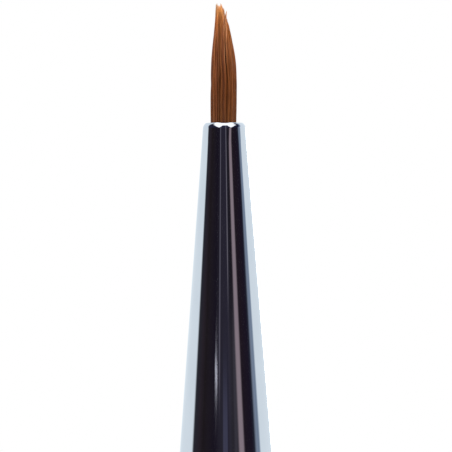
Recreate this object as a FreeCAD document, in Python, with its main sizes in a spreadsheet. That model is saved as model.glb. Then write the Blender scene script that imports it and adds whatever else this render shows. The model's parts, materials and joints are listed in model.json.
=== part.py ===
"""Fine detail brush: a short lacquered handle, a seamless conical ferrule and a pointed hair tuft.

The brush stands upright, +Z up, with the tuft at the top. The origin is the middle of the
handle's cylindrical grip, which is where a hand or a holder takes it. Millimetres throughout.
"""

import FreeCAD, Part
import Sketcher

import os

# ---------------------------------------------------------------- driving dimensions

SIZES = (
    ("handle_length", 125.0, "handle outside the ferrule, from its tail to the ferrule's rear end"),
    ("tail_radius", 1.2, "lacquered handle just above its rounded tail"),
    ("neck_radius", 1.7, "lacquered handle at the upper edge of the tail dip"),
    ("grip_radius", 3.2, "lacquered handle along its cylindrical grip, the thickest place"),
    ("shoulder_radius", 2.5, "lacquered handle where it meets the ferrule"),
    ("dip_length", 18.0, "tail dip, up from the tail"),
    ("grip_height", 98.0, "middle of the grip, above the tail"),
    ("grip_length", 10.0, "cylindrical part of the grip"),
    ("lacquer_coat", 0.08, "thickness of the lacquer on the wood"),
    ("dip_coat", 0.06, "thickness of the tail dip on the lacquer"),
    ("tenon_length", 10.5, "wood inside the ferrule"),
    ("glue_gap", 0.08, "between the tenon and the ferrule's bore"),
    ("glue_start", 5.2, "lower end of the glue film, above the ferrule's rear end"),
    ("ferrule_length", 21.0, "ferrule from its rear end to the top of its lip"),
    ("ferrule_wall", 0.355, "thickness of the ferrule's wall"),
    ("lip_round", 0.24, "outer rounding of the ferrule's lip; the inner rounding takes the rest of the wall"),
    ("mouth_radius", 0.961, "outside of the ferrule at its mouth, just below the lip"),
    ("rear_radius", 2.559, "outside of the ferrule at its rear end"),
    ("crimp_round", 0.32, "radius of the wheel edge that rolls a crimp"),
    ("crimp_depth", 0.15, "how far a crimp is pressed into the ferrule"),
    ("crimp_height", 2.7, "first crimp above the ferrule's rear end"),
    ("crimp_spacing", 1.3, "from one crimp to the next"),
    ("crimp_clearance", 0.03, "between a crimp's bead and its seat in the tenon"),
    ("root_depth", 8.0, "hair roots below the mouth"),
    ("root_radius", 0.68, "bound root of the hair bundle"),
    ("bound_length", 2.4, "straight bound part of the root, up from its lower end"),
    ("thread_radius", 0.075, "half the thickness of the binding thread"),
    ("thread_height", 0.95, "lowest turn above the lower end of the roots"),
    ("thread_turns", 5.0, "turns of binding thread"),
    ("thread_pitch", 0.18, "rise of each turn"),
    ("thread_clearance", 0.012, "between the thread and what is beside it"),
    ("cement_cap", 0.9, "cement below the hair roots"),
    ("cement_top", 0.5, "cement above the highest turn of thread"),
    ("tuft_radius", 0.585, "tuft where it leaves the ferrule"),
    ("tuft_length", 5.5, "tuft from the mouth to its point"),
    ("belly_height", 1.26, "above the mouth, where the tuft begins to narrow"),
    ("point_radius", 0.05, "the blunt end of the point"),
    ("point_lean", 0.25, "how far the point leans to the left"),
    ("parting", 0.08, "the parting between left and right locks, right of the axis"),
    ("lower_bend", 1.05, "height of the lower bend above the mouth"),
    ("upper_bend", 2.95, "height of the upper bend above the mouth"),
    ("lower_dome", 0.75, "radius of the rounded end below the lower bend"),
    ("upper_dome", 0.68, "radius of the rounded end below the upper bend"),
    ("bend_gap", 0.05, "play between a rounded end and the hollow above it"),
)

TUFT_SECTIONS = 9      # circles that the tuft's outline is lofted through
TAPER_POWER = 2.5      # how late the tuft narrows: a larger number is a fuller belly
CRIMPS = 2
LOCK_SIDES = (("front_left", -1, -1), ("front_right", 1, -1), ("back_left", -1, 1), ("back_right", 1, 1))
TOOL_SIZE = 4.0        # half-width of the boxes that part the tuft, larger than the tuft
LEAST_CHANGE = 1e-4    # cubic millimetres: a ring that changes its body by less has missed it

doc = FreeCAD.newDocument("fine_detail_brush")


def fill_sheet():
    """The spreadsheet that drives every feature: a note, a plain number and its alias in each row."""
    sheet = doc.addObject("Spreadsheet::Sheet", "Sizes")
    for row, (alias, number, note) in enumerate(SIZES, start=1):
        sheet.set(f"A{row}", note)
        sheet.set(f"B{row}", str(number))
        sheet.setAlias(f"B{row}", alias)
    doc.recompute()
    return sheet


SHEET = fill_sheet()


def size(formula):
    """What a formula written with the sheet's aliases comes to."""
    return float(SHEET.evalExpression(formula))


# Formulas that several sub-parts share. Heights along the handle start at its tail, heights
# along the ferrule at its rear end, and heights along the tuft at the ferrule's mouth.
TAIL = "(-Sizes.grip_height)"
FERRULE_REAR = f"({TAIL} + Sizes.handle_length)"
MOUTH = f"({FERRULE_REAR} + Sizes.ferrule_length)"
SHOULDER = "(Sizes.ferrule_length - Sizes.lip_round)"
SLOPE = f"((Sizes.rear_radius - Sizes.mouth_radius) / {SHOULDER})"
INNER_ROUND = "(Sizes.ferrule_wall - Sizes.lip_round)"
INNER_SHOULDER = f"(Sizes.ferrule_length - {INNER_ROUND})"
GRIP_BOTTOM = "(Sizes.grip_height - Sizes.grip_length / 2)"
GRIP_TOP = "(Sizes.grip_height + Sizes.grip_length / 2)"
ROOT_END = "(Sizes.ferrule_length - Sizes.root_depth)"
THREAD_PATH_RADIUS = "(Sizes.root_radius + Sizes.thread_radius + Sizes.thread_clearance)"
THREAD_BOTTOM = f"({ROOT_END} + Sizes.thread_height)"
THREAD_TOP = f"({THREAD_BOTTOM} + Sizes.thread_turns * Sizes.thread_pitch)"


def bore(height):
    """Formula for the ferrule's inside radius at a height above its rear end."""
    return f"(Sizes.rear_radius - Sizes.ferrule_wall - {SLOPE} * ({height}))"


def arc_radius(length, drop):
    """Formula for the radius of an arc that leaves the axis direction and falls by drop over length."""
    return f"(((({length})) ^ 2 + ({drop}) ^ 2) / (2 * ({drop})))"


# ---------------------------------------------------------------- drawing helpers


def origin_plane(body, role):
    return next(item for item in body.Origin.OriginFeatures if item.Role == role)


def new_body(label, base_height):
    """An empty body whose own zero height lies at base_height in the brush's frame."""
    body = doc.addObject("PartDesign::Body", label)
    body.Label = label
    body.setExpression("Placement.Base.z", base_height)
    return body


def new_sketch(body, name):
    """A sketch on the body's upright plane: x is the distance from the axis, y the height."""
    sketch = body.newObject("Sketcher::SketchObject", name)
    sketch.AttachmentSupport = (origin_plane(body, "XZ_Plane"), [""])
    sketch.MapMode = "FlatFace"
    return sketch


def bind(sketch, constraint, formula):
    """Add a dimension to the sketch and tie it to a formula."""
    index = sketch.addConstraint(constraint)
    sketch.setExpression(f"Constraints[{index}]", formula)


def pin_point(sketch, side, end, corner):
    """Tie one end of a side to its corner, given as formulas for radius and height."""
    for formula, kind, axis in zip(corner, ("DistanceX", "DistanceY"), (-2, -1)):
        if size(formula) == 0:
            sketch.addConstraint(Sketcher.Constraint("PointOnObject", side, end, axis))
        else:
            bind(sketch, Sketcher.Constraint(kind, -1, 1, side, end, size(formula)), formula)


def arc_between(start, finish, radius):
    """An anticlockwise arc from start to finish."""
    chord = finish - start
    rise = radius - max(radius * radius - chord.Length ** 2 / 4, 0.0) ** 0.5
    outward = FreeCAD.Vector(chord.y, -chord.x, 0).normalize()
    return Part.Arc(start, start + chord * 0.5 + outward * rise, finish)


def closed_outline(sketch, corners, arcs=None):
    """Sides from corner to corner and back to the first. arcs gives (radius, turn) for a bent side:
    turn is 1 where it goes round anticlockwise and -1 where it goes round clockwise."""
    arcs = arcs or {}
    points = [FreeCAD.Vector(size(radius), size(height), 0) for radius, height in corners]
    count = len(corners)
    first_end, last_end = {}, {}
    for side in range(count):
        start, finish = points[side], points[(side + 1) % count]
        formula, turn = arcs.get(side, (None, 1))
        first_end[side], last_end[side] = (1, 2) if turn > 0 else (2, 1)
        if formula is None:
            sketch.addGeometry(Part.LineSegment(start, finish))
        elif turn > 0:
            sketch.addGeometry(arc_between(start, finish, size(formula)))
        else:
            sketch.addGeometry(arc_between(finish, start, size(formula)))
    for side in range(count):
        following = (side + 1) % count
        joint = Sketcher.Constraint("Coincident", side, last_end[side], following, first_end[following])
        sketch.addConstraint(joint)
        pin_point(sketch, side, first_end[side], corners[side])
    for side, (formula, _) in arcs.items():
        bind(sketch, Sketcher.Constraint("Radius", side, size(formula)), formula)


def spin(body, sketch, name, kind="PartDesign::Revolution"):
    """Turn a sketch once round the body's axis: a Revolution adds material, a Groove removes it."""
    feature = body.newObject(kind, name)
    feature.Profile = sketch
    feature.ReferenceAxis = (sketch, ["V_Axis"])
    feature.Angle = 360.0
    sketch.Visibility = False
    return feature


def turned_body(label, base_height, corners, arcs=None):
    """A body turned about the brush's axis from one closed outline."""
    body = new_body(label, base_height)
    sketch = new_sketch(body, f"{label}_outline")
    closed_outline(sketch, corners, arcs)
    spin(body, sketch, f"{label}_turned")
    return body


def ring(body, name, kind, centre_radius, height, round_radius):
    """Add or cut one ring of round section."""
    sketch = new_sketch(body, f"{name}_section")
    start = FreeCAD.Vector(size(centre_radius), size(height), 0)
    sketch.addGeometry(Part.Circle(start, FreeCAD.Vector(0, 0, 1), size(round_radius)))
    pin_point(sketch, 0, 3, (centre_radius, height))
    bind(sketch, Sketcher.Constraint("Radius", 0, size(round_radius)), round_radius)
    doc.recompute()
    before = body.Shape.Volume
    spin(body, sketch, name, kind)
    doc.recompute()
    change = body.Shape.Volume - before
    if (change < 0) != (kind == "PartDesign::Groove") or abs(change) < LEAST_CHANGE:
        raise SystemExit(f"{name} changed nothing")


def crimp_heights():
    """Formulas for the height of each crimp above the ferrule's rear end."""
    return [f"(Sizes.crimp_height + {step} * Sizes.crimp_spacing)" for step in range(CRIMPS)]


# ---------------------------------------------------------------- handle


def handle_side(coat):
    """The handle's outline from the tail's centre up to the ferrule, standing coat proud of the wood."""
    inset = f"Sizes.lacquer_coat - ({coat})"
    corners = [
        ("0", f"({inset})"),
        (f"(Sizes.tail_radius - ({inset}))", "Sizes.tail_radius"),
        (f"(Sizes.neck_radius - ({inset}))", "Sizes.dip_length"),
        (f"(Sizes.grip_radius - ({inset}))", GRIP_BOTTOM),
        (f"(Sizes.grip_radius - ({inset}))", GRIP_TOP),
        (f"(Sizes.shoulder_radius - ({inset}))", "Sizes.handle_length"),
    ]
    arcs = {
        0: (f"(Sizes.tail_radius - ({inset}))", 1),
        2: (arc_radius(f"{GRIP_BOTTOM} - Sizes.dip_length", "Sizes.grip_radius - Sizes.neck_radius"), 1),
        4: (arc_radius(f"Sizes.handle_length - {GRIP_TOP}", "Sizes.grip_radius - Sizes.shoulder_radius"), 1),
    }
    return corners, arcs


def skin_outline(inner, outer):
    """One closed outline between an inner and an outer side: up the outer one and back down the inner."""
    (inner_corners, inner_arcs), (outer_corners, outer_arcs) = inner, outer
    corners = outer_corners + inner_corners[::-1]
    arcs = dict(outer_arcs)
    last = len(corners) - 2
    for side, (formula, turn) in inner_arcs.items():
        arcs[last - side] = (formula, -turn)
    return corners, arcs


def make_handle_wood():
    """Turned hardwood: the handle's core and the tapered tenon that the ferrule is crimped on."""
    corners, arcs = handle_side("0")
    tenon_top = "(Sizes.handle_length + Sizes.tenon_length)"
    corners += [
        (f"({bore('0')} - Sizes.glue_gap)", "Sizes.handle_length"),
        (f"({bore('Sizes.tenon_length')} - Sizes.glue_gap)", tenon_top),
        ("0", tenon_top),
    ]
    body = turned_body("handle_wood", TAIL, corners, arcs)
    for number, height in enumerate(crimp_heights(), start=1):
        seat_radius = f"({bore(height)} + Sizes.crimp_round - Sizes.crimp_depth)"
        section = "(Sizes.crimp_round + Sizes.crimp_clearance)"
        name = f"crimp_seat_{number}"
        ring(body, name, "PartDesign::Groove", seat_radius, f"(Sizes.handle_length + {height})", section)
    return body


def make_handle_lacquer():
    """Glossy lacquer over all of the wood outside the ferrule."""
    corners, arcs = skin_outline(handle_side("0"), handle_side("Sizes.lacquer_coat"))
    return turned_body("handle_lacquer", TAIL, corners, arcs)


def make_tail_dip():
    """Second coat that the tail was dipped in, over the lacquer up to the dip's edge."""
    lacquer_corners, lacquer_arcs = handle_side("Sizes.lacquer_coat")
    dip_corners, dip_arcs = handle_side("Sizes.lacquer_coat + Sizes.dip_coat")
    inner = (lacquer_corners[:3], {0: lacquer_arcs[0]})
    outer = (dip_corners[:3], {0: dip_arcs[0]})
    corners, arcs = skin_outline(inner, outer)
    return turned_body("tail_dip", TAIL, corners, arcs)


# ---------------------------------------------------------------- ferrule


def make_ferrule():
    """Seamless tapered tube, rounded over at the mouth, with two crimps rolled in near its rear end."""
    corners = [
        ("Sizes.rear_radius", "0"),
        ("Sizes.mouth_radius", SHOULDER),
        ("(Sizes.mouth_radius - Sizes.lip_round)", "Sizes.ferrule_length"),
        (bore(INNER_SHOULDER), INNER_SHOULDER),
        (bore("0"), "0"),
    ]
    arcs = {1: ("Sizes.lip_round", 1), 2: (INNER_ROUND, 1)}
    body = turned_body("ferrule", FERRULE_REAR, corners, arcs)
    for number, height in enumerate(crimp_heights(), start=1):
        bead_radius = f"({bore(height)} + Sizes.crimp_round - Sizes.crimp_depth)"
        groove_radius = f"({bore(height)} + Sizes.ferrule_wall + Sizes.crimp_round - Sizes.crimp_depth)"
        ring(body, f"crimp_bead_{number}", "PartDesign::Revolution", bead_radius, height, "Sizes.crimp_round")
        ring(body, f"crimp_groove_{number}", "PartDesign::Groove", groove_radius, height, "Sizes.crimp_round")
    return body


def make_ferrule_glue():
    """Film of glue that fills the gap between the tenon and the bore, above the crimps."""
    corners = [
        (bore("Sizes.glue_start"), "Sizes.glue_start"),
        (bore("Sizes.tenon_length"), "Sizes.tenon_length"),
        (f"({bore('Sizes.tenon_length')} - Sizes.glue_gap)", "Sizes.tenon_length"),
        (f"({bore('Sizes.glue_start')} - Sizes.glue_gap)", "Sizes.glue_start"),
    ]
    return turned_body("ferrule_glue", FERRULE_REAR, corners)


# ---------------------------------------------------------------- hair root inside the ferrule


def make_hair_root():
    """The bound bundle of hair roots: straight where the thread holds it, slimmer up in the mouth."""
    corners = [
        ("0", ROOT_END),
        ("Sizes.root_radius", ROOT_END),
        ("Sizes.root_radius", f"({ROOT_END} + Sizes.bound_length)"),
        ("Sizes.tuft_radius", "(Sizes.ferrule_length - Sizes.ferrule_wall)"),
        ("Sizes.tuft_radius", "Sizes.ferrule_length"),
        ("0", "Sizes.ferrule_length"),
    ]
    return turned_body("hair_root_bundle", FERRULE_REAR, corners)


def make_binding_thread():
    """Waxed thread wound round the hair roots, a round section swept along a helix."""
    spine = doc.addObject("Part::Helix", "thread_path")
    spine.setExpression("Pitch", "Sizes.thread_pitch")
    spine.setExpression("Height", "Sizes.thread_turns * Sizes.thread_pitch")
    spine.setExpression("Radius", THREAD_PATH_RADIUS)
    section = doc.addObject("Part::Circle", "thread_section")
    section.setExpression("Radius", "Sizes.thread_radius")
    section.Placement.Rotation = FreeCAD.Rotation(FreeCAD.Vector(1, 0, 0), 90)
    section.setExpression("Placement.Base.x", THREAD_PATH_RADIUS)
    thread = doc.addObject("Part::Sweep", "binding_thread")
    thread.Label = "binding_thread"
    thread.Sections = [section]
    thread.Spine = (spine, ["Edge1"])
    thread.Solid = True
    thread.Frenet = True
    thread.setExpression("Placement.Base.z", f"{FERRULE_REAR} + {THREAD_BOTTOM}")
    return thread


def make_root_cement():
    """Cement poured in from behind: it caps the roots, buries the thread and grips the bore."""
    bottom = f"({ROOT_END} - Sizes.cement_cap)"
    top = f"({THREAD_TOP} + Sizes.cement_top)"
    room = "(Sizes.thread_radius + Sizes.thread_clearance)"
    outside = f"({THREAD_PATH_RADIUS} + {room})"
    corners = [
        ("0", bottom),
        (bore(bottom), bottom),
        (bore(top), top),
        ("Sizes.root_radius", top),
        ("Sizes.root_radius", f"({THREAD_TOP} + {room})"),
        (outside, f"({THREAD_TOP} + {room})"),
        (outside, f"({THREAD_BOTTOM} - {room})"),
        ("Sizes.root_radius", f"({THREAD_BOTTOM} - {room})"),
        ("Sizes.root_radius", ROOT_END),
        ("0", ROOT_END),
    ]
    return turned_body("root_cement", FERRULE_REAR, corners)


# ---------------------------------------------------------------- tuft


def boolean(kind, name, base, tool):
    """A Cut or a Common of two shapes."""
    result = doc.addObject(kind, name)
    result.Base = base
    result.Tool = tool
    return result


def box(name, corner, length, width, height):
    """A box from its lowest corner, all six numbers given as formulas."""
    block = doc.addObject("Part::Box", name)
    for side, formula in zip(("Length", "Width", "Height"), (length, width, height)):
        block.setExpression(side, formula)
    for axis, formula in zip("xyz", corner):
        block.setExpression(f"Placement.Base.{axis}", formula)
    return block


def slab(name, bottom, top):
    """A box wide enough for the whole tuft, from one height to another."""
    reach = str(-TOOL_SIZE)
    width = str(2 * TOOL_SIZE)
    return box(name, (reach, reach, bottom), width, width, f"({top}) - ({bottom})")


def ball(name, radius, height):
    sphere = doc.addObject("Part::Sphere", name)
    sphere.setExpression("Radius", radius)
    sphere.setExpression("Placement.Base.z", height)
    return sphere


def make_tuft_outline():
    """The whole tuft's outer shape: circles that shrink towards the point and lean to the left with it."""
    circles = []
    for step in range(TUFT_SECTIONS):
        share = step / (TUFT_SECTIONS - 1)
        circle = doc.addObject("Part::Circle", f"tuft_circle_{step}")
        rise = f"({share} * (Sizes.tuft_length - Sizes.belly_height))"
        spare = "(Sizes.tuft_radius - Sizes.point_radius)"
        circle.setExpression("Radius", f"Sizes.tuft_radius - {spare} * {share ** TAPER_POWER}")
        circle.setExpression("Placement.Base.x", f"-Sizes.point_lean * {share ** TAPER_POWER}")
        circle.setExpression("Placement.Base.z", f"Sizes.belly_height + {rise}")
        circles.append(circle)
    point = doc.addObject("Part::Loft", "tuft_point")
    point.Sections = circles
    point.Solid = True
    belly = doc.addObject("Part::Cylinder", "tuft_belly")
    belly.setExpression("Radius", "Sizes.tuft_radius")
    belly.setExpression("Height", "Sizes.belly_height")
    outline = doc.addObject("Part::MultiFuse", "tuft_outline")
    outline.Shapes = [belly, point]
    return outline


def make_tuft_stages(outline):
    """Three lengths of the tuft. Each ends in a dome about the bend above it, and starts in a hollow."""
    lower_hollow = ball("lower_hollow", "Sizes.lower_dome + Sizes.bend_gap", "Sizes.lower_bend")
    upper_hollow = ball("upper_hollow", "Sizes.upper_dome + Sizes.bend_gap", "Sizes.upper_bend")
    lower_dome = ball("lower_dome_end", "Sizes.lower_dome", "Sizes.lower_bend")
    upper_dome = ball("upper_dome_end", "Sizes.upper_dome", "Sizes.upper_bend")

    base_reach = doc.addObject("Part::MultiFuse", "base_reach")
    base_reach.Shapes = [slab("base_slab", "0", "Sizes.lower_bend"), lower_dome]
    base = boolean("Part::Common", "tuft_base", outline, base_reach)

    belly_reach = doc.addObject("Part::MultiFuse", "belly_reach")
    belly_reach.Shapes = [slab("belly_slab", "Sizes.lower_bend", "Sizes.upper_bend"), upper_dome]
    belly_whole = boolean("Part::Common", "belly_whole", outline, belly_reach)
    belly = boolean("Part::Cut", "tuft_middle", belly_whole, lower_hollow)

    tip_slab = slab("tip_slab", "Sizes.upper_bend", "Sizes.tuft_length + 1")
    tip_whole = boolean("Part::Common", "tip_whole", outline, tip_slab)
    tip = boolean("Part::Cut", "tuft_top", tip_whole, upper_hollow)
    return (("base", base), ("belly", belly), ("tip", tip))


def make_locks():
    """Each length of the tuft parted into four locks, by the parting and by the plane across it."""
    locks = []
    wide = str(TOOL_SIZE)
    for stage, shape in make_tuft_stages(make_tuft_outline()):
        for side, right, back in LOCK_SIDES:
            label = f"hair_{stage}_{side}"
            corner_x = "Sizes.parting" if right > 0 else f"Sizes.parting - {wide}"
            corner_y = "0" if back > 0 else f"-{wide}"
            tool = box(f"{label}_sector", (corner_x, corner_y, f"-{wide}"), wide, wide, f"4 * {wide}")
            lock = boolean("Part::Common", label, shape, tool)
            lock.Label = label
            lock.setExpression("Placement.Base.z", MOUTH)
            locks.append(lock)
    return locks


# ---------------------------------------------------------------- build, check and write


def check(parts):
    """Stop on any failed feature, and on any sub-part that isn't a sound solid."""
    for item in doc.Objects:
        if "Invalid" in item.State or "Error" in item.State:
            raise SystemExit(f"{item.Label} failed: {item.State}")
    for part in parts:
        shape = part.Shape
        if shape.isNull() or not shape.isValid() or not shape.Solids:
            raise SystemExit(f"{part.Label} is not a sound solid")


def write(parts):
    os.makedirs("parts", exist_ok=True)
    for part in parts:
        part.Shape.exportStep(f"parts/{part.Label}.step")
        box_of_part = part.Shape.BoundBox
        low, high = box_of_part.ZMin, box_of_part.ZMax
        print(f"{part.Label:24s} {part.Shape.Volume:10.4f} mm3, {low:8.3f} to {high:8.3f} mm high")


parts = [
    make_handle_wood(),
    make_handle_lacquer(),
    make_tail_dip(),
    make_ferrule(),
    make_ferrule_glue(),
    make_hair_root(),
    make_binding_thread(),
    make_root_cement(),
    *make_locks(),
]
doc.recompute()
check(parts)
write(parts)
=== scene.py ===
"""Looks of the fine detail brush: separate hairs, a polished ferrule and a lacquered handle.

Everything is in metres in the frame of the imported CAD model: +Z towards the tuft's point, the
camera looks along +Y, and the origin is the middle of the grip.
"""

import json
import math

import bpy
import numpy as np
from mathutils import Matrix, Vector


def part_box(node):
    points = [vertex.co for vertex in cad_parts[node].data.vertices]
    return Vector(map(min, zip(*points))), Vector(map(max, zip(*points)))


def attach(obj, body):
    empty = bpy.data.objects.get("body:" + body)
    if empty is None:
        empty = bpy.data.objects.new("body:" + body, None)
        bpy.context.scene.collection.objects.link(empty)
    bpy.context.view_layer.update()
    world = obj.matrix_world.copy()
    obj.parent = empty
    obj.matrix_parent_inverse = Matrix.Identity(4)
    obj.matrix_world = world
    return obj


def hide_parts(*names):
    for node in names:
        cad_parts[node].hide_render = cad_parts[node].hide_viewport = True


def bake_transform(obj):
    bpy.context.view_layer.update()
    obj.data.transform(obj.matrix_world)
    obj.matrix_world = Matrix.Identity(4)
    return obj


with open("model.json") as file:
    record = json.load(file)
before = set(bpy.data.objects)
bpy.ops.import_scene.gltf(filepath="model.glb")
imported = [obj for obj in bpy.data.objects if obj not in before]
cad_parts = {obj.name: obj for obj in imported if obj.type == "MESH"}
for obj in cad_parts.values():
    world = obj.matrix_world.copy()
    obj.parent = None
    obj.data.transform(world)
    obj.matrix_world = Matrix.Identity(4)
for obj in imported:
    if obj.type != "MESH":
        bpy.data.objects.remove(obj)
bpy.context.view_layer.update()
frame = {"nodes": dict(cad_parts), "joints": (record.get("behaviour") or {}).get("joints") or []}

MM = 0.001

# ---------------------------------------------------------------- sizes taken from the frame

FERRULE_LOW, FERRULE_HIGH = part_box("ferrule")
LACQUER_LOW, LACQUER_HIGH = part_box("handle_lacquer")
DIP_LOW, DIP_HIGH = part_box("tail_dip")
ROOT_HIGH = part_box("hair_root_bundle")[1]
POINT_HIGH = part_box("hair_tip_front_left")[1]
JOINTS = {joint["name"]: joint for joint in frame["joints"]}

REAR = FERRULE_LOW.z                      # the ferrule's rear end
MOUTH = ROOT_HIGH.z                       # the top of its lip
REAR_RADIUS = FERRULE_HIGH.x
TAIL = LACQUER_LOW.z                      # the lacquered handle's lower end
GRIP_RADIUS = LACQUER_HIGH.x
TUFT_LENGTH = POINT_HIGH.z - MOUTH
LOWER_BEND = JOINTS["tuft_bend_side"]["pos_m"][2]
UPPER_BEND = JOINTS["tuft_bend_front"]["pos_m"][2]

# ---------------------------------------------------------------- sizes of the looks alone

TUFT_RADIUS = 0.585 * MM
MOUTH_RADIUS = 0.961 * MM                 # outside, just below the lip
WALL = 0.355 * MM
LIP_ROUND = 0.32 * MM                     # outer rounding of the lip
LIP_BREAK = 55                            # degrees: the rounding meets the lip's flat top here
LIP_INSIDE = 0.08 * MM                    # rounding of the bore's edge
CRIMPS = (2.7 * MM, 4.0 * MM)             # above the ferrule's rear end
CRIMP_DEPTH = 0.15 * MM
CRIMP_REACH = 0.36 * MM                   # half the width of a crimp
REAR_ROUND = 0.06 * MM                    # rounding of the ferrule's rear edge
FINE_ROWS = 120                           # rows of points along the ferrule's crimped part
FINE_STEP = 0.04 * MM                     # and the height between them
PLAIN_ROWS = 24                           # rows along the plain cone above
AROUND = 192                              # faces round a turned piece

# ---------------------------------------------------------------- node graphs


class Graph:
    """A node tree, emptied, with short calls for the nodes that materials and studio are made of."""

    def __init__(self, tree):
        self.tree = tree
        tree.nodes.clear()

    def add(self, kind, inputs=None, **settings):
        """A node with its settings, and its inputs given as numbers, colours or other nodes' sockets."""
        node = self.tree.nodes.new(kind)
        for name, value in settings.items():
            setattr(node, name, value)
        for name, value in (inputs or {}).items():
            if isinstance(value, bpy.types.NodeSocket):
                self.tree.links.new(value, node.inputs[name])
            else:
                node.inputs[name].default_value = value
        return node

    def math(self, operation, *values):
        node = self.add("ShaderNodeMath", dict(enumerate(values)), operation=operation)
        return node.outputs[0]

    def plus(self, first, second):
        return self.math("ADD", first, second)

    def minus(self, first, second):
        return self.math("SUBTRACT", first, second)

    def times(self, first, second):
        return self.math("MULTIPLY", first, second)

    def beyond(self, value, limit):
        """How far a value is past a limit, or nothing."""
        return self.math("MAXIMUM", self.minus(value, limit), 0.0)

    def window(self, value, low, high, soft):
        """One between low and high, falling to nothing over soft."""
        rise = self.fit(value, low - soft, low + soft)
        fall = self.fit(value, high - soft, high + soft, 1.0, 0.0)
        return self.times(rise, fall)

    def fit(self, value, low, high, to_low=0.0, to_high=1.0):
        """Carry a value smoothly from one range to another, and hold it at the ends."""
        inputs = {"Value": value, "From Min": low, "From Max": high, "To Min": to_low, "To Max": to_high}
        return self.add("ShaderNodeMapRange", inputs, interpolation_type="SMOOTHSTEP").outputs["Result"]

    def ramp(self, value, stops):
        """A colour ramp from (place, colour) stops."""
        node = self.add("ShaderNodeValToRGB", {"Fac": value})
        elements = node.color_ramp.elements
        while len(elements) < len(stops):
            elements.new(0.5)
        for element, (place, colour) in zip(elements, stops):
            element.position = place
            element.color = (*colour, 1.0)
        return node.outputs["Color"]

    def noise(self, factors, detail, roughness=0.5):
        """Cloudy noise, from 0 to 1, in coordinates scaled by the factors."""
        inputs = {"Vector": self.stretched(factors), "Scale": 1.0, "Detail": detail, "Roughness": roughness}
        return self.add("ShaderNodeTexNoise", inputs).outputs["Fac"]

    def attribute(self, name):
        """A number stored at the mesh's vertices."""
        return self.add("ShaderNodeAttribute", attribute_name=name).outputs["Fac"]

    def stretched(self, factors):
        """The object's own coordinates, scaled differently along each axis."""
        place = self.add("ShaderNodeTexCoord").outputs["Object"]
        return self.add("ShaderNodeMapping", {"Vector": place, "Scale": factors}).outputs["Vector"]

    def mix(self, factor, first, second, blend="MIX"):
        node = self.add("ShaderNodeMix", data_type="RGBA", blend_type=blend)
        for name, value in (("Factor_Float", factor), ("A_Color", first), ("B_Color", second)):
            socket = next(item for item in node.inputs if item.identifier == name)
            if isinstance(value, bpy.types.NodeSocket):
                self.tree.links.new(value, socket)
            else:
                socket.default_value = value
        return next(item for item in node.outputs if item.identifier == "Result_Color")

    def shine(self, onto, share, colour):
        """Add light of one colour where share isn't zero."""
        return self.mix(share, onto, (*colour, 1.0), "ADD")

    def bump(self, height, distance, strength):
        inputs = {"Height": height, "Distance": distance, "Strength": strength}
        return self.add("ShaderNodeBump", inputs).outputs["Normal"]

    def surface(self, inputs):
        """Finish a material with one Principled shader."""
        shader = self.add("ShaderNodeBsdfPrincipled", inputs)
        self.add("ShaderNodeOutputMaterial", {"Surface": shader.outputs["BSDF"]})


def new_material(name):
    material = bpy.data.materials.new(name)
    material.use_nodes = True
    return material, Graph(material.node_tree)


# ---------------------------------------------------------------- materials


def hair_material():
    """Brown at the root and orange at the point, with every hair a little lighter, darker or redder. Near
    the point part of the lightness is painted light: light shining through the thin tips, and paler hairs
    in the groove.
    """
    material, graph = new_material("natural_hair")
    streaks = graph.noise((14000.0, 14000.0, 1100.0), 3.0, 0.55)
    # from brown to orange along the hair: partly the hair's own colour and partly painted light, the back
    # light shining through the thin tips
    along = graph.ramp(graph.attribute("rise"), (
        (0.00, (0.140, 0.045, 0.012)),
        (0.23, (0.135, 0.038, 0.008)),
        (0.47, (0.175, 0.051, 0.014)),
        (0.65, (0.250, 0.078, 0.023)),
        (0.78, (0.330, 0.107, 0.029)),
        (0.86, (0.450, 0.155, 0.040)),
        (0.92, (0.640, 0.300, 0.095)),
        (1.00, (0.700, 0.460, 0.260)),
    ))
    tint = graph.ramp(graph.attribute("tone"), (
        (0.0, (0.86, 0.80, 1.15)),
        (0.5, (1.0, 1.0, 1.0)),
        (1.0, (1.18, 1.22, 0.90)),
    ))
    lift = graph.times(graph.attribute("shade"), graph.fit(streaks, 0.3, 0.7, 0.85, 1.15))
    lift_colour = graph.add("ShaderNodeCombineColor", {"Red": lift, "Green": lift, "Blue": lift})
    tinted = graph.mix(1.0, along, tint, "MULTIPLY")
    lifted = graph.mix(1.0, tinted, lift_colour.outputs["Color"], "MULTIPLY")
    # pale: some hairs by the groove are paler, and near the point this is painted light on hairs that the
    # groove leaves in shade
    colour = graph.mix(graph.attribute("pale"), lifted, (0.72, 0.34, 0.17, 1.0))
    scales = graph.noise((12000.0, 12000.0, 60000.0), 2.0)
    graph.surface({
        "Base Color": colour,
        "Roughness": graph.fit(streaks, 0.2, 0.8, 0.46, 0.60),
        "Specular IOR Level": 0.15,
        "IOR": 1.55,
        "Normal": graph.bump(scales, 0.001 * MM, 0.5),
    })
    return material


def bound_hair_material():
    """The hair roots inside the ferrule, packed tight and stained by the cement."""
    material, graph = new_material("bound_hair")
    strands = graph.noise((16000.0, 16000.0, 500.0), 3.0, 0.55)
    graph.surface({
        "Base Color": graph.ramp(strands, ((0.3, (0.060, 0.022, 0.009)), (0.7, (0.170, 0.070, 0.028)))),
        "Roughness": graph.fit(strands, 0.3, 0.7, 0.55, 0.40),
        "Normal": graph.bump(strands, 0.02 * MM, 0.8),
    })
    return material


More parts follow.
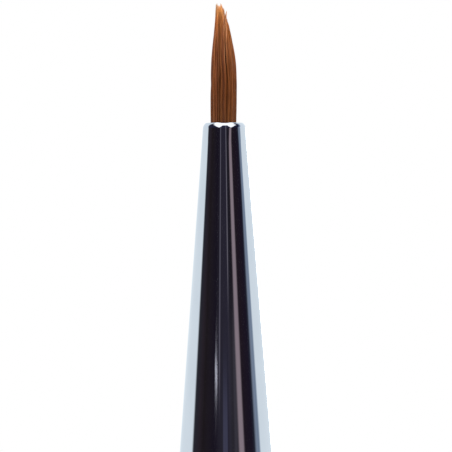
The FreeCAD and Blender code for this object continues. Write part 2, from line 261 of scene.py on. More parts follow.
def plating_material():
    """Polished nickel plating with the faint marks of polishing round the cone."""
    material, graph = new_material("nickel_plating")
    rings = graph.noise((300.0, 300.0, 14000.0), 3.0)
    cloud = graph.noise((900.0, 900.0, 500.0), 4.0)
    colour = graph.ramp(cloud, ((0.3, (0.665, 0.685, 0.715)), (0.7, (0.700, 0.715, 0.740))))
    graph.surface({
        "Base Color": colour,
        "Metallic": 1.0,
        "Roughness": graph.fit(cloud, 0.3, 0.7, 0.028, 0.040),
        "Normal": graph.bump(rings, 0.00002 * MM, 0.3),
    })
    return material


def coat_material(name, dark, light, coat_roughness):
    """Gloss paint over turned wood: the grain still shows as faint long ripples."""
    material, graph = new_material(name)
    grain = graph.noise((1600.0, 1600.0, 60.0), 4.0)
    peel = graph.noise((1500.0, 1500.0, 1500.0), 2.0)
    height = graph.plus(graph.times(grain, 0.6), graph.times(peel, 0.4))
    graph.surface({
        "Base Color": graph.ramp(grain, ((0.3, dark), (0.7, light))),
        "Roughness": graph.fit(peel, 0.3, 0.7, 0.22, 0.30),
        "Specular IOR Level": 0.05,
        "Coat Weight": 1.0,
        "Coat Roughness": coat_roughness,
        "Normal": graph.bump(height, 0.004 * MM, 0.3),
    })
    return material


def wood_material():
    """Bare birch with its grain along the handle."""
    material, graph = new_material("birch")
    rings = graph.add("ShaderNodeTexWave", {
        "Vector": graph.stretched((520.0, 300.0, 14.0)), "Scale": 1.0, "Distortion": 5.0, "Detail": 3.0,
    }, bands_direction="X").outputs["Fac"]
    pores = graph.noise((6000.0, 6000.0, 300.0), 3.0)
    base = graph.ramp(rings, ((0.2, (0.55, 0.38, 0.22)), (0.8, (0.70, 0.53, 0.34))))
    colour = graph.mix(graph.fit(pores, 0.55, 0.75, 0.0, 0.5), base, (0.36, 0.22, 0.12, 1.0))
    graph.surface({
        "Base Color": colour,
        "Roughness": graph.fit(pores, 0.3, 0.8, 0.6, 0.75),
        "Normal": graph.bump(pores, 0.02 * MM, 0.5),
    })
    return material


def thread_material():
    """Waxed thread with the twist of its strands."""
    material, graph = new_material("waxed_thread")
    twist = graph.add("ShaderNodeTexWave", {
        "Vector": graph.stretched((9000.0, 9000.0, 26000.0)), "Scale": 1.0, "Distortion": 1.0,
    }, bands_direction="DIAGONAL").outputs["Fac"]
    graph.surface({
        "Base Color": graph.ramp(twist, ((0.2, (0.56, 0.50, 0.38)), (0.8, (0.78, 0.73, 0.60)))),
        "Roughness": graph.fit(twist, 0.0, 1.0, 0.55, 0.42),
        "Normal": graph.bump(twist, 0.01 * MM, 0.6),
    })
    return material


def resin_material(name, dark, light, roughness):
    """Cast or dried adhesive: cloudy, with a slightly uneven surface."""
    material, graph = new_material(name)
    cloud = graph.noise((2500.0, 2500.0, 2500.0), 4.0)
    graph.surface({
        "Base Color": graph.ramp(cloud, ((0.3, dark), (0.7, light))),
        "Roughness": graph.fit(cloud, 0.3, 0.7, roughness, roughness + 0.12),
        "Normal": graph.bump(cloud, 0.03 * MM, 0.4),
    })
    return material


def floor_material():
    material, graph = new_material("pale_floor")
    cloud = graph.noise((6.0, 6.0, 6.0), 3.0)
    graph.surface({
        "Base Color": graph.ramp(cloud, ((0.3, (0.66, 0.66, 0.66)), (0.7, (0.70, 0.70, 0.70)))),
        "Roughness": 0.7,
    })
    return material


HAIR = hair_material()
BOUND_HAIR = bound_hair_material()
PLATING = plating_material()
LACQUER = coat_material("black_lacquer", (0.004, 0.004, 0.005), (0.008, 0.007, 0.009), 0.03)
DIP = coat_material("red_dip", (0.120, 0.005, 0.005), (0.165, 0.008, 0.007), 0.03)
WOOD = wood_material()
THREAD = thread_material()
CEMENT = resin_material("amber_cement", (0.30, 0.15, 0.04), (0.46, 0.26, 0.09), 0.25)
GLUE = resin_material("dried_glue", (0.62, 0.56, 0.38), (0.75, 0.70, 0.52), 0.40)

# ---------------------------------------------------------------- mesh helpers


def new_piece(name, vertices, faces, material, sharp=None):
    """A smooth-shaded mesh object. sharp lists the vertex pairs whose edges stay crisp."""
    mesh = bpy.data.meshes.new(name)
    mesh.from_pydata(vertices, [], faces)
    mesh.polygons.foreach_set("use_smooth", np.ones(len(mesh.polygons), bool))
    if sharp:
        wanted = {frozenset(pair) for pair in sharp}
        flags = [frozenset(edge.vertices) in wanted for edge in mesh.edges]
        mesh.attributes.new("sharp_edge", "BOOLEAN", "EDGE").data.foreach_set("value", flags)
    mesh.materials.append(material)
    mesh.update()
    piece = bpy.data.objects.new(name, mesh)
    bpy.context.scene.collection.objects.link(piece)
    return piece


def circle(radius, height, count):
    """Points of a level circle round the brush's axis."""
    angles = [2 * math.pi * step / count for step in range(count)]
    return [(radius * math.cos(angle), radius * math.sin(angle), height) for angle in angles]


def turned_piece(name, profile, material, corners=()):
    """A closed solid turned from a profile of (radius, height) points.

    The profile either starts and ends on the axis or is a closed loop. It runs upwards on the
    outside. corners lists the places in the profile where the surface has a crisp edge."""
    solid = profile[0][0] == 0.0
    vertices, rows = [], []
    for radius, height in profile:
        if radius == 0.0:
            rows.append([len(vertices)] * AROUND)
            vertices.append((0.0, 0.0, height))
        else:
            rows.append(list(range(len(vertices), len(vertices) + AROUND)))
            vertices += circle(radius, height, AROUND)
    faces = []
    count = len(rows)
    for place in range(count - 1 if solid else count):
        lower, upper = rows[place], rows[(place + 1) % count]
        for step in range(AROUND):
            following = (step + 1) % AROUND
            ring = (lower[step], lower[following], upper[following], upper[step])
            faces.append(tuple(dict.fromkeys(ring)))      # a triangle where a row is on the axis
    sharp = []
    for place in corners:
        row = rows[place]
        sharp += [(row[step], row[(step + 1) % AROUND]) for step in range(AROUND)]
    return new_piece(name, vertices, faces, material, sharp)


def arc_points(centre, radius, start, finish, steps):
    """Points on a circle in the profile's plane, from one angle to another, in degrees."""
    points = []
    for step in range(steps + 1):
        angle = math.radians(start + (finish - start) * step / steps)
        points.append((centre[0] + radius * math.cos(angle), centre[1] + radius * math.sin(angle)))
    return points


def smooth_curve(places, values, at):
    """A smooth curve through a few points, read at many places."""
    places, values = np.array(places, float), np.array(values, float)
    slopes = np.gradient(values, places)
    at = np.clip(at, places[0], places[-1])
    index = np.clip(np.searchsorted(places, at, "right") - 1, 0, len(places) - 2)
    span = places[index + 1] - places[index]
    t = (at - places[index]) / span
    h00, h10 = 2 * t**3 - 3 * t**2 + 1, t**3 - 2 * t**2 + t
    h01, h11 = -2 * t**3 + 3 * t**2, t**3 - t**2
    return (h00 * values[index] + h10 * span * slopes[index]
            + h01 * values[index + 1] + h11 * span * slopes[index + 1])


def smoothstep(low, high, value):
    t = np.clip((value - low) / (high - low), 0.0, 1.0)
    return t * t * (3 - 2 * t)


# ---------------------------------------------------------------- ferrule


def make_ferrule():
    """The ferrule with its rolled lip, its two crimps and a slightly rounded rear edge."""
    lip_height = MOUTH - LIP_ROUND * math.sin(math.radians(LIP_BREAK))
    slope = (REAR_RADIUS - MOUTH_RADIUS) / (lip_height - REAR)
    tilt = math.degrees(math.atan(slope))

    def crimp(height):
        """How far the wall is pressed in at a height."""
        depth = 0.0
        for above in CRIMPS:
            share = (height - REAR - above) / CRIMP_REACH
            if abs(share) < 1:
                depth += CRIMP_DEPTH * (0.5 + 0.5 * math.cos(math.pi * share))
        return depth

    def outside(height):
        return REAR_RADIUS - slope * (height - REAR) - crimp(height)

    heights = [REAR + REAR_ROUND + step * FINE_STEP for step in range(FINE_ROWS)]
    plain = lip_height - heights[-1]
    heights += [heights[-1] + plain * step / PLAIN_ROWS for step in range(1, PLAIN_ROWS)]
    lip_centre = (MOUTH_RADIUS - LIP_ROUND / math.cos(math.radians(tilt)), lip_height)
    bore_centre = (MOUTH_RADIUS - WALL + LIP_INSIDE, MOUTH - LIP_INSIDE)
    rear_centre = (REAR_RADIUS - REAR_ROUND, REAR + REAR_ROUND)
    profile = arc_points(rear_centre, REAR_ROUND, -90, 0, 6)
    profile += [(outside(height), height) for height in heights]
    profile += arc_points(lip_centre, LIP_ROUND, tilt, LIP_BREAK, 28)
    lip_edge = len(profile) - 1
    profile += arc_points(bore_centre, LIP_INSIDE, 90, 180, 10)
    profile += [(outside(height) - WALL, height) for height in reversed(heights)]
    profile.append((REAR_RADIUS - WALL, REAR))
    corners = (lip_edge, len(profile) - 1)
    piece = turned_piece("ferrule_polished", profile, PLATING, corners)
    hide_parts("ferrule")
    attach(piece, "handle")


# ---------------------------------------------------------------- handle

HANDLE_LENGTH = REAR - TAIL
TAIL_RADIUS = 1.2 * MM
NECK_RADIUS = 1.7 * MM
SHOULDER_RADIUS = 2.5 * MM
DIP_EDGE = DIP_HIGH.z - TAIL              # heights above the tail
GRIP_LENGTH = 10.0 * MM
GRIP_BOTTOM = -TAIL - GRIP_LENGTH / 2
GRIP_TOP = -TAIL + GRIP_LENGTH / 2
LACQUER_COAT = 0.08 * MM
DIP_COAT = 0.06 * MM
TAIL_ROWS = 12                            # rows of points round the tail and up the lacquered side
SIDE_ROWS = 160
DIP_TAIL_ROWS = 14                        # and the same for the dipped coat
DIP_ROWS = 40


def handle_radius(height):
    """Lacquered handle's radius at a height above its tail."""
    if height < TAIL_RADIUS:
        return math.sqrt(max(TAIL_RADIUS**2 - (TAIL_RADIUS - height) ** 2, 0.0))
    if height < DIP_EDGE:
        return TAIL_RADIUS + (NECK_RADIUS - TAIL_RADIUS) * (height - TAIL_RADIUS) / (DIP_EDGE - TAIL_RADIUS)
    if height < GRIP_BOTTOM:
        fall = GRIP_RADIUS - NECK_RADIUS
        return GRIP_RADIUS - fall * ((GRIP_BOTTOM - height) / (GRIP_BOTTOM - DIP_EDGE)) ** 2
    if height < GRIP_TOP:
        return GRIP_RADIUS
    fall = GRIP_RADIUS - SHOULDER_RADIUS
    return GRIP_RADIUS - fall * ((height - GRIP_TOP) / (HANDLE_LENGTH - GRIP_TOP)) ** 2


def tail_round(inset, steps):
    """The rounded tail's profile, from the axis out, inset below the lacquer's surface."""
    centre = (0.0, TAIL + TAIL_RADIUS)
    points = arc_points(centre, TAIL_RADIUS - inset, -90, 0, steps)
    return [(0.0, points[0][1])] + points[1:]


def side(inset, top, steps):
    """The handle's side above its rounded tail, up to a height above the tail."""
    heights = [TAIL_RADIUS + (top - TAIL_RADIUS) * step / steps for step in range(1, steps + 1)]
    return [(handle_radius(height) - inset, TAIL + height) for height in heights]


def make_lacquer():
    """The lacquer as a closed skin over the wood."""
    outer = tail_round(0.0, TAIL_ROWS) + side(0.0, HANDLE_LENGTH, SIDE_ROWS)
    inner = tail_round(LACQUER_COAT, TAIL_ROWS) + side(LACQUER_COAT, HANDLE_LENGTH, SIDE_ROWS)
    profile = outer + inner[::-1]
    top = len(outer)
    piece = turned_piece("handle_gloss_lacquer", profile, LACQUER, corners=(top - 1, top))
    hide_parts("handle_lacquer")
    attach(piece, "handle")


def make_tail_dip():
    """The dipped coat: an even skin over the lacquer, which thins to an edge at its top."""
    outer = tail_round(-DIP_COAT, DIP_TAIL_ROWS) + side(-DIP_COAT, DIP_EDGE - 2 * DIP_COAT, DIP_ROWS)
    edge = (handle_radius(DIP_EDGE), TAIL + DIP_EDGE)
    shoulder = (handle_radius(DIP_EDGE) + 0.7 * DIP_COAT, TAIL + DIP_EDGE - 0.6 * DIP_COAT)
    inner = tail_round(0.0, DIP_TAIL_ROWS) + side(0.0, DIP_EDGE - 2 * DIP_COAT, DIP_ROWS)
    profile = outer + [shoulder, edge] + inner[::-1]
    piece = turned_piece("tail_gloss_dip", profile, DIP)
    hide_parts("tail_dip")
    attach(piece, "handle")


# ---------------------------------------------------------------- hairs

# The tuft's outline: across in shares of HAIR_REACH, rise in shares of the tuft's length.
# The left edge stays nearly straight and the right one curves over to it. The main lock, on the
# left, carries the point; the right lock ends lower, in a wisp of its own.
RISE = (0.0, 0.22, 0.42, 0.62, 0.80, 0.86, 0.91, 0.94, 0.97, 1.0)
LEFT_EDGE = (-1.055, -1.06, -0.985, -0.895, -0.70, -0.65, -0.63, -0.62, -0.615, -0.615)
MAIN_EDGE = (0.155, 0.205, 0.185, 0.113, 0.115, 0.12, 0.055, 0.003, -0.097, -0.197)
WISP_EDGE = (0.155, 0.205, 0.185, 0.123, 0.13, 0.145, 0.225, 0.223, 0.223, 0.223)
RIGHT_EDGE = (0.96, 1.015, 0.957, 0.75, 0.44, 0.35, 0.265, 0.24, 0.233, 0.233)
HALF_DEPTH = (1.00, 1.00, 0.96, 0.82, 0.55, 0.44, 0.34, 0.28, 0.22, 0.16)      # to the front or back
# How high the main lock's hairs end, from its left edge to its right: two points and a notch.
CREST_SHARE = (0.0, 0.08, 0.30, 0.47, 0.65, 0.78, 0.90, 1.0)
CREST = (0.97, 0.982, 0.972, 0.966, 0.975, 0.985, 0.958, 0.930)

PARTING = 0.20                            # hairs left of this place in the mouth are the main lock's
LOCK_SIDES = ("front_left", "front_right", "back_left", "back_right")
SIDES = 6                                 # faces round a hair
HAIR_RADIUS = 0.034 * MM
HAIR_REACH = TUFT_RADIUS - HAIR_RADIUS    # from the axis to the outermost hair in the mouth
HAIR_SPACING = 0.061 * MM
HIDDEN_LENGTH = 0.9 * MM                  # hair below the mouth, inside the ferrule
SPLIT = (LOWER_BEND + UPPER_BEND) / 2     # height where each hair passes from one body to the next
GROOVE = 0.06                             # how far each lock draws back from the parting at the front
STRAY = 0.022                             # how far hairs wander off sideways, in shares of HAIR_REACH
SWAY = 0.011 * MM                         # how far each of a hair's waves swings to one side
SWAY_WAVES = (1.6 * MM, 4.2 * MM)         # the shortest and the longest of these waves
SLIMMING = 0.62                           # how much thinner a hair is near the tuft's point
POINT_LENGTH = 0.35 * MM                  # each hair comes to its point over this length
LOWER_RINGS = 15                          # rings of a hair below the split
UPPER_RINGS = 24                          # and above it
SHADE_SPREAD = 0.17                       # how much lightness and tone differ from hair to hair
TONE_SPREAD = 0.24
RANDOM = np.random.default_rng(7)
CLUMPS = RANDOM.uniform(0.92, 1.08, 11)   # lighter and darker strands, from left to right


def hair_places():
    """Where the hairs stand in the mouth, from -1 to 1 both ways: a loose honeycomb."""
    places = []
    row_gap = HAIR_SPACING * math.sqrt(3) / 2
    rows = int(HAIR_REACH / row_gap) + 1
    for row in range(-rows, rows + 1):
        shift = (row % 2) * HAIR_SPACING / 2
        for column in range(-rows - 1, rows + 2):
            x, y = column * HAIR_SPACING + shift, row * row_gap
            x, y = (x, y) + RANDOM.uniform(-0.2, 0.2, 2) * HAIR_SPACING
            if math.hypot(x, y) <= HAIR_REACH:
                places.append((x, y))
    widest = max(math.hypot(x, y) for x, y in places)
    return [(x / widest, y / widest) for x, y in places]


class Hair:
    """One hair, from its place in the mouth: across and deep run from -1 to 1."""

    def __init__(self, across, deep):
        self.deep = deep
        # half the tuft's width at this depth
        self.chord = math.sqrt(max(1 - deep * deep, 0.0))
        self.in_main_lock = across < PARTING
        if self.in_main_lock:
            share = (across + self.chord) / (PARTING + self.chord)
        else:
            share = (across - PARTING) / max(self.chord - PARTING, 0.1)
        self.share = min(max(share, 0.0), 1.0)
        self.end = TUFT_LENGTH * self.reach()
        self.stray = RANDOM.normal(0.0, STRAY)
        clump = CLUMPS[min(int((across + 1) * len(CLUMPS) / 2), len(CLUMPS) - 1)]
        self.shade = clump * math.exp(RANDOM.normal(0.0, SHADE_SPREAD))
        self.tone = min(max(RANDOM.normal(0.5, TONE_SPREAD), 0.0), 1.0)
        # beside the groove between the locks some hairs, picked at random, are paler; near the point all of
        # them are made paler too, as painted light where the groove would lie in shade
        near_groove = (self.share - 0.62) / 0.2 if self.in_main_lock else (0.6 - self.share) / 0.35
        self.near_groove = min(max(near_groove, 0.0), 1.0)
        self.pale = self.near_groove * RANDOM.choice((0.0, 0.3, 0.8))
        # painted light and shade: at the point the main lock's middle is made lighter, standing in for
        # light shining through the thin tips, and its sides darker
        self.painted_point_light_and_shade = 0.60 - 0.80 * abs(2 * self.share - 1) if self.in_main_lock else 0.0
        self.name = ("back" if deep > 0 else "front") + ("_left" if self.in_main_lock else "_right")

    def reach(self):
        """How far up the hair ends, in shares of the tuft's length. Hairs in front and behind end lower."""
        loss = abs(self.deep) ** 3 * RANDOM.uniform(0.0, 0.22) + RANDOM.uniform(0.0, 0.02)
        if self.in_main_lock:
            return float(smooth_curve(CREST_SHARE, CREST, np.array([self.share]))[0]) - loss
        return 0.93 - 0.12 * self.share - loss

    def centres(self, heights):
        """The hair's centre line."""
        rise = np.clip(heights / TUFT_LENGTH, 0.0, 1.0)
        left, right = smooth_curve(RISE, LEFT_EDGE, rise), smooth_curve(RISE, RIGHT_EDGE, rise)
        middle = (left + right) / 2
        # the groove between the locks opens above the mouth and closes again below the point
        opening = max(-self.deep, 0.0) * GROOVE * smoothstep(0.0, 0.15, rise) * smoothstep(0.84, 0.74, rise)
        if self.in_main_lock:
            low = middle + (left - middle) * self.chord
            high = smooth_curve(RISE, MAIN_EDGE, rise) - opening
        else:
            low = smooth_curve(RISE, WISP_EDGE, rise) + opening
            high = np.maximum(middle + (right - middle) * self.chord, low)
        x = low + self.share * (high - low) + self.stray * smoothstep(0.1, 0.4, rise)
        y = self.deep * smooth_curve(RISE, HALF_DEPTH, rise)
        line = np.stack([x, y], axis=1) * HAIR_REACH
        sway = smoothstep(0.3 * MM, 2.0 * MM, heights) * SWAY
        for axis in range(2):
            for wave in RANDOM.uniform(*SWAY_WAVES, 2):
                line[:, axis] += sway * np.sin(2 * math.pi * (heights / wave + RANDOM.uniform()))
        return line

    def rings(self):
        """Centres, radii and heights of the hair's rings from inside the ferrule up to its end."""
        split = SPLIT - MOUTH
        lower = np.linspace(-HIDDEN_LENGTH, split, LOWER_RINGS)
        # the rings above the split stand closer together towards the point
        upper = split + (self.end - split) * (1 - (1 - np.linspace(0.0, 1.0, UPPER_RINGS)) ** 1.3)
        heights = np.concatenate([lower, upper[1:]])
        thick = HAIR_RADIUS * RANDOM.uniform(0.88, 1.12)
        slim = 1 - SLIMMING * smoothstep(0.35, 0.97, heights / TUFT_LENGTH)
        point = np.clip((self.end - heights) / POINT_LENGTH, 0.0, 1.0) ** 0.75
        return self.centres(heights), thick * slim * (0.08 + 0.92 * point), heights


def tube(centres, radii, heights):
    """Rings of vertices round a nearly upright line, with both ends closed."""
    angles = 2 * math.pi * (np.arange(SIDES) + RANDOM.uniform()) / SIDES
    corners = np.stack([np.cos(angles), np.sin(angles)], axis=1)
    rings = centres[:, None, :] + radii[:, None, None] * corners[None, :, :]
    tall = np.broadcast_to(heights[:, None, None], (*rings.shape[:2], 1))
    vertices = np.concatenate([rings, tall + MOUTH], axis=2).reshape(-1, 3)
    faces = []
    for ring in range(len(heights) - 1):
        for step in range(SIDES):
            a, b = ring * SIDES + step, ring * SIDES + (step + 1) % SIDES
            faces.append((a, b, b + SIDES, a + SIDES))
    last = (len(heights) - 1) * SIDES
    faces.append(tuple(range(SIDES - 1, -1, -1)))
    faces.append(tuple(range(last, last + SIDES)))
    return vertices, faces, last


class Lock:
    """The hairs of one lock, gathered into one mesh, with the shares that colour them."""

    def __init__(self, name):
        self.name = name
        self.vertices, self.faces, self.sharp = [], [], []
        self.shares = {"rise": [], "shade": [], "tone": [], "pale": []}

    def add(self, hair, rings, crisp_ends):
        """One length of a hair. crisp_ends tells which of its ends are cut square."""
        centres, radii, heights = rings
        vertices, faces, last = tube(centres, radii, heights)
        base = len(self.vertices)
        self.vertices += vertices.tolist()
        self.faces += [tuple(base + corner for corner in face) for face in faces]
        for end in crisp_ends:
            first = base + (0 if end == "low" else last)
            self.sharp += [(first + step, first + (step + 1) % SIDES) for step in range(SIDES)]
        rise = np.clip(np.repeat(heights, SIDES) / TUFT_LENGTH, 0.0, 1.0)
        self.shares["rise"] += rise.tolist()
        # the shade share also carries the painted light at the main lock's point and the painted shade at
        # its sides
        self.shares["shade"] += (hair.shade * (1 + hair.painted_point_light_and_shade * smoothstep(0.86, 0.93, rise))).tolist()
        self.shares["tone"] += [hair.tone] * len(rise)
        pale = hair.pale * smoothstep(0.38, 0.70, rise)
        # painted light: near the point every hair beside the groove is made paler, so that the gap between
        # the locks doesn't lie in shade
        pale = np.maximum(pale, 0.4 * hair.near_groove * smoothstep(0.80, 0.88, rise))
        self.shares["pale"] += pale.tolist()

    def piece(self):
        made = new_piece(self.name, self.vertices, self.faces, HAIR, self.sharp)
        for name, values in self.shares.items():
            made.data.attributes.new(name, "FLOAT", "POINT").data.foreach_set("value", values)
        return made


def make_hairs():
    """All the hairs, in four locks. Each hair is cut at the height between the two bends."""
    lower = {name: Lock(f"hairs_{name}_lower") for name in LOCK_SIDES}
    upper = {name: Lock(f"hairs_{name}_upper") for name in LOCK_SIDES}
    for across, deep in hair_places():
        hair = Hair(across, deep)
        centres, radii, heights = hair.rings()
        cut = int(np.argmin(np.abs(heights + MOUTH - SPLIT)))
        low, high = slice(0, cut + 1), slice(cut, None)
        lower[hair.name].add(hair, (centres[low], radii[low], heights[low]), ("low", "high"))
        upper[hair.name].add(hair, (centres[high], radii[high], heights[high]), ("low",))
    for name in LOCK_SIDES:
        piece = lower[name].piece()
        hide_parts(f"hair_base_{name}", f"hair_belly_{name}")
        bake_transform(piece)
        piece = upper[name].piece()
        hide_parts(f"hair_tip_{name}")
        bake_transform(piece)


# ---------------------------------------------------------------- materials of the CAD pieces


def dress_cad_pieces():
    """Pieces inside the brush keep their CAD shape and get a finished material."""
    finishes = {
        "handle_wood": WOOD,
        "ferrule_glue": GLUE,
        "binding_thread": THREAD,
        "root_cement": CEMENT,
        "hair_root_bundle": BOUND_HAIR,
    }
    for node, material in finishes.items():
        for slot in frame["nodes"][node].material_slots:
            slot.material = material


# ---------------------------------------------------------------- studio

FRAME_WIDTH = 20.34 * MM                  # what the picture spans at the brush
CAMERA_DISTANCE = 260 * MM
CAMERA_DROP = 4.64 * MM                   # the picture's middle, below the mouth
CAMERA_SHIFT = 0.054 * MM                 # and right of the brush's axis
CAMERA_ROLL = 0.33                        # degrees
FLOOR_RADIUS = 1.5
FLOOR_CORNERS = 128

# Every angle of the studio is in degrees. Azimuth 0 is the camera's side and 90 is to the right.
BACKDROP = (0.86, 0.95, 1.02)             # what the polished metal sees behind the brush
STUDIO = (                                # what it sees round about, by azimuth
    (-120, BACKDROP),
    (-96, BACKDROP),
    (-90, (0.034, 0.034, 0.044)),
    (-86, (0.027, 0.026, 0.036)),
    (-73, (0.027, 0.020, 0.028)),
    (-60, (0.016, 0.012, 0.015)),
    (-48, (0.017, 0.013, 0.019)),
    (-28, (0.012, 0.009, 0.018)),
    (-11, (0.026, 0.023, 0.036)),
    (7, (0.026, 0.023, 0.040)),
    (18, (0.015, 0.013, 0.019)),
    (50, (0.017, 0.011, 0.018)),
    (73, (0.014, 0.010, 0.022)),
    (80, (0.022, 0.026, 0.044)),
    (84.5, (0.190, 0.230, 0.310)),
    (89, (0.250, 0.310, 0.420)),
    (93, (0.200, 0.260, 0.360)),
    (96.5, (0.300, 0.370, 0.480)),
    (101, BACKDROP),
    (120, BACKDROP),
)
WIDEST = 120                              # the colours stay the same beyond this azimuth
CONE_SEES = 9.7                           # the highest elevation that the cone itself reflects
LEAN = 9.1                                # how strongly the studio leans to the left as it rises
LEAN_LIMIT = 12.55                        # elevation towards which the lean grows
DUSK = 9.5                                # elevation where the dusk above the dark room begins
SCREEN_BEND = 9.3                         # elevation where the tall screen bends back
# Upright strips of light in the dark room: their left and right azimuths and the softness of these
# sides, the elevations at which they are gone and at their full strength, and their colours.
STRIPS = (
    ((-18.5, -14.5, 1.5), (6.8, 7.4), (0.100, 0.095, 0.120)),      # a bright slit
    ((10.0, 13.5, 1.5), (7.8, 8.6), (0.150, 0.140, 0.160)),        # a second one
    ((-6.0, 6.0, 1.5), (7.7, 6.8), (0.036, 0.038, 0.065)),         # a pale doorway below them
    ((10.0, 33.0, 3.0), (8.2, 7.3), (0.014, 0.013, 0.017)),        # a dim glow from the ground
    ((24.0, 33.0, 3.0), (8.2, 7.3), (0.022, 0.021, 0.026)),        # and its brighter end
)
ROUND_LAMP = (-26.0, 7.09)                # azimuth and elevation of a small lamp, front left
ROUND_LAMP_SIZE = (5.0, 0.112)            # its half width and half height
SOFT_BOXES = (-56, 64, 168)               # azimuths of the soft boxes near the floor
SOFT_BOX_HALF = 6                         # half their width

LAMP_SIZE = 0.08
LAMP_SPREAD = math.radians(60)            # narrow, so that the lamps leave the floor alone
LAMPS = (                                 # name, place, power in watts and colour
    ("key_lamp", (-0.02, -0.15, 0.11), 0.005, (1.0, 0.97, 0.93)),
    ("left_lamp", (-0.145, -0.04, 0.06), 0.007, (1.0, 0.98, 0.96)),
    ("right_lamp", (0.145, -0.04, 0.06), 0.010, (1.0, 0.98, 0.96)),
    ("back_lamp", (0.02, 0.15, 0.09), 0.010, (1.0, 0.98, 0.96)),
)


def leaning_azimuth(graph, bearing, elevation):
    """All of the studio leans to the left as it rises, and most of all what stands on the right."""
    quarter = graph.math("DIVIDE", graph.math("MINIMUM", bearing, WIDEST), 4.0)
    side = graph.math("TANGENT", graph.math("RADIANS", graph.plus(quarter, 45.0)))
    remaining = graph.minus(LEAN_LIMIT, graph.math("MINIMUM", elevation, CONE_SEES))
    return graph.plus(bearing, graph.math("DIVIDE", graph.times(side, LEAN), remaining))


def backdrop_and_room(graph, azimuth, elevation):
    """The pale backdrop behind and the dark room in front. The backdrop's edges move back as they
    rise: a step within what the cone reflects, and from the dusk on steadily, faster on the right."""
    right_hand = graph.math("GREATER_THAN", azimuth, 0.0)
    rate = graph.plus(graph.times(right_hand, 0.6), 0.5)
    step = graph.fit(elevation, 6.6, 7.1, 0.0, 2.5)
    back = graph.plus(graph.times(graph.beyond(elevation, DUSK), rate), step)
    nearer = graph.beyond(graph.math("ABSOLUTE", azimuth), back)
    turned = graph.times(nearer, graph.math("SIGN", azimuth))
    place = graph.plus(graph.math("DIVIDE", turned, 2 * WIDEST), 0.5)
    return graph.ramp(place, [(0.5 + angle / (2 * WIDEST), colour) for angle, colour in STUDIO])


def tall_screen(graph, azimuth, elevation):
    """A screen on the right. It leans to the left, and bends back and fades at its top."""
    bend = graph.times(graph.beyond(elevation, SCREEN_BEND), -7.0)
    along = graph.plus(azimuth, graph.plus(graph.times(elevation, 2.7), bend))
    return graph.times(graph.window(along, 52.0, 64.5, 3.0), graph.fit(elevation, 14.0, 11.0))


def round_lamp(graph, azimuth, elevation):
    """A lamp that is low and wide here, because the cone's reflection draws it out upwards."""
    squares = []
    for angle, middle, half in zip((azimuth, elevation), ROUND_LAMP, ROUND_LAMP_SIZE):
        off = graph.math("DIVIDE", graph.minus(angle, middle), half)
        squares.append(graph.math("POWER", off, 2.0))
    return graph.fit(graph.math("SQRT", graph.plus(*squares)), 1.1, 0.5)


def soft_box(graph, bearing, elevation, middle):
    """A box near the floor, which shines along the handle."""
    across = graph.window(bearing, middle - SOFT_BOX_HALF, middle + SOFT_BOX_HALF, 1.0)
    return graph.times(across, graph.fit(elevation, 3.0, 1.5))


def upper_lamps(graph, axes):
    """A light overhead and, in front, two lamps that widen from their feet up to it."""
    off_middle = graph.math("ABSOLUTE", graph.minus(axes["X"], 0.06))
    off_foot = graph.math("ABSOLUTE", graph.minus(off_middle, 0.52))
    lower_edge = graph.math("MINIMUM", graph.plus(graph.times(off_foot, 1.5), 0.25), 0.77)
    lamps = graph.fit(graph.minus(axes["Z"], lower_edge), -0.05, 0.05)
    off_side = graph.math("ABSOLUTE", graph.minus(axes["X"], 0.037))
    lamps = graph.times(lamps, graph.fit(off_side, 0.72, 0.66))
    lamps = graph.times(lamps, graph.fit(axes["Y"], 0.06, -0.06))
    overhead = graph.fit(axes["Z"], 0.83, 0.89)
    return graph.math("MAXIMUM", overhead, lamps)


def seen_by_metal(graph):
    """The studio's colour in every direction."""
    direction = graph.add("ShaderNodeTexCoord").outputs["Generated"]
    axes = graph.add("ShaderNodeSeparateXYZ", {"Vector": direction}).outputs
    elevation = graph.math("DEGREES", graph.math("ARCSINE", axes["Z"]))
    towards = graph.times(axes["Y"], -1.0)
    bearing = graph.math("DEGREES", graph.math("ARCTAN2", axes["X"], towards))
    azimuth = leaning_azimuth(graph, bearing, elevation)
    seen = backdrop_and_room(graph, azimuth, elevation)
    seen = graph.shine(seen, graph.fit(elevation, DUSK, 16.0), (0.002, 0.009, 0.028))
    seen = graph.shine(seen, tall_screen(graph, azimuth, elevation), (0.300, 0.235, 0.265))
    for (left, right, soft), (gone, full), colour in STRIPS:
        strip = graph.times(graph.window(azimuth, left, right, soft), graph.fit(elevation, gone, full))
        seen = graph.shine(seen, strip, colour)
    seen = graph.shine(seen, round_lamp(graph, azimuth, elevation), (1.10, 1.10, 1.26))
    for middle in SOFT_BOXES:
        seen = graph.shine(seen, soft_box(graph, bearing, elevation, middle), (5.0, 5.0, 5.0))
    return graph.shine(seen, upper_lamps(graph, axes), (1.4, 1.4, 1.4))


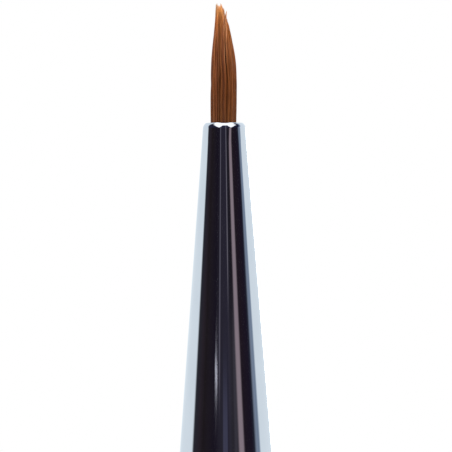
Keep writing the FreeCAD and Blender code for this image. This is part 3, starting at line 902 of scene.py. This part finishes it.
def studio_world():
    """White all round for the eye and for soft light. Polished metal sees a studio instead: a pale
    backdrop behind, and a dark room in front with lamps, slits and a screen in it."""
    world = bpy.data.worlds.new("studio")
    world.use_nodes = True
    bpy.context.scene.world = world
    graph = Graph(world.node_tree)
    studio = graph.add("ShaderNodeBackground", {"Color": seen_by_metal(graph), "Strength": 1.0})
    plain = graph.add("ShaderNodeBackground", {"Color": (1.0, 1.0, 1.0, 1.0), "Strength": 1.0})
    glossy = graph.add("ShaderNodeLightPath").outputs["Is Glossy Ray"]
    both = graph.add("ShaderNodeMixShader", {0: glossy, 1: plain.outputs[0], 2: studio.outputs[0]})
    graph.add("ShaderNodeOutputWorld", {"Surface": both.outputs[0]})


def soft_light(name, place, power, colour):
    """A square lamp aimed at the tuft, which polished metal doesn't show."""
    data = bpy.data.lights.new(name, "AREA")
    data.shape = "SQUARE"
    data.size = LAMP_SIZE
    data.energy = power
    data.color = colour
    data.spread = LAMP_SPREAD
    lamp = bpy.data.objects.new(name, data)
    bpy.context.scene.collection.objects.link(lamp)
    lamp.location = place
    aim = lamp.location.copy()
    aim.z -= MOUTH
    lamp.rotation_mode = "QUATERNION"
    lamp.rotation_quaternion = aim.to_track_quat("Z", "Y")
    lamp.visible_glossy = False
    lamp.visible_camera = False


def make_camera():
    data = bpy.data.cameras.new("camera")
    data.sensor_width = 36.0
    data.lens = data.sensor_width * CAMERA_DISTANCE / FRAME_WIDTH
    data.clip_start = 0.01
    camera = bpy.data.objects.new("camera", data)
    bpy.context.scene.collection.objects.link(camera)
    camera.location = (CAMERA_SHIFT, -CAMERA_DISTANCE, MOUTH - CAMERA_DROP)
    camera.rotation_euler = (math.pi / 2, math.radians(CAMERA_ROLL), 0.0)
    bpy.context.scene.camera = camera


def make_floor():
    """A plain pale disc under the brush's tail."""
    ring = circle(FLOOR_RADIUS, DIP_LOW.z, FLOOR_CORNERS)
    floor = new_piece("floor", ring, [tuple(range(FLOOR_CORNERS))], floor_material())
    floor.visible_glossy = False          # metal and lacquer go on seeing the studio below the horizon


make_ferrule()
make_lacquer()
make_tail_dip()
make_hairs()
dress_cad_pieces()
studio_world()
for lamp in LAMPS:
    soft_light(*lamp)
make_camera()
make_floor()
bpy.context.scene.view_settings.view_transform = "Standard"
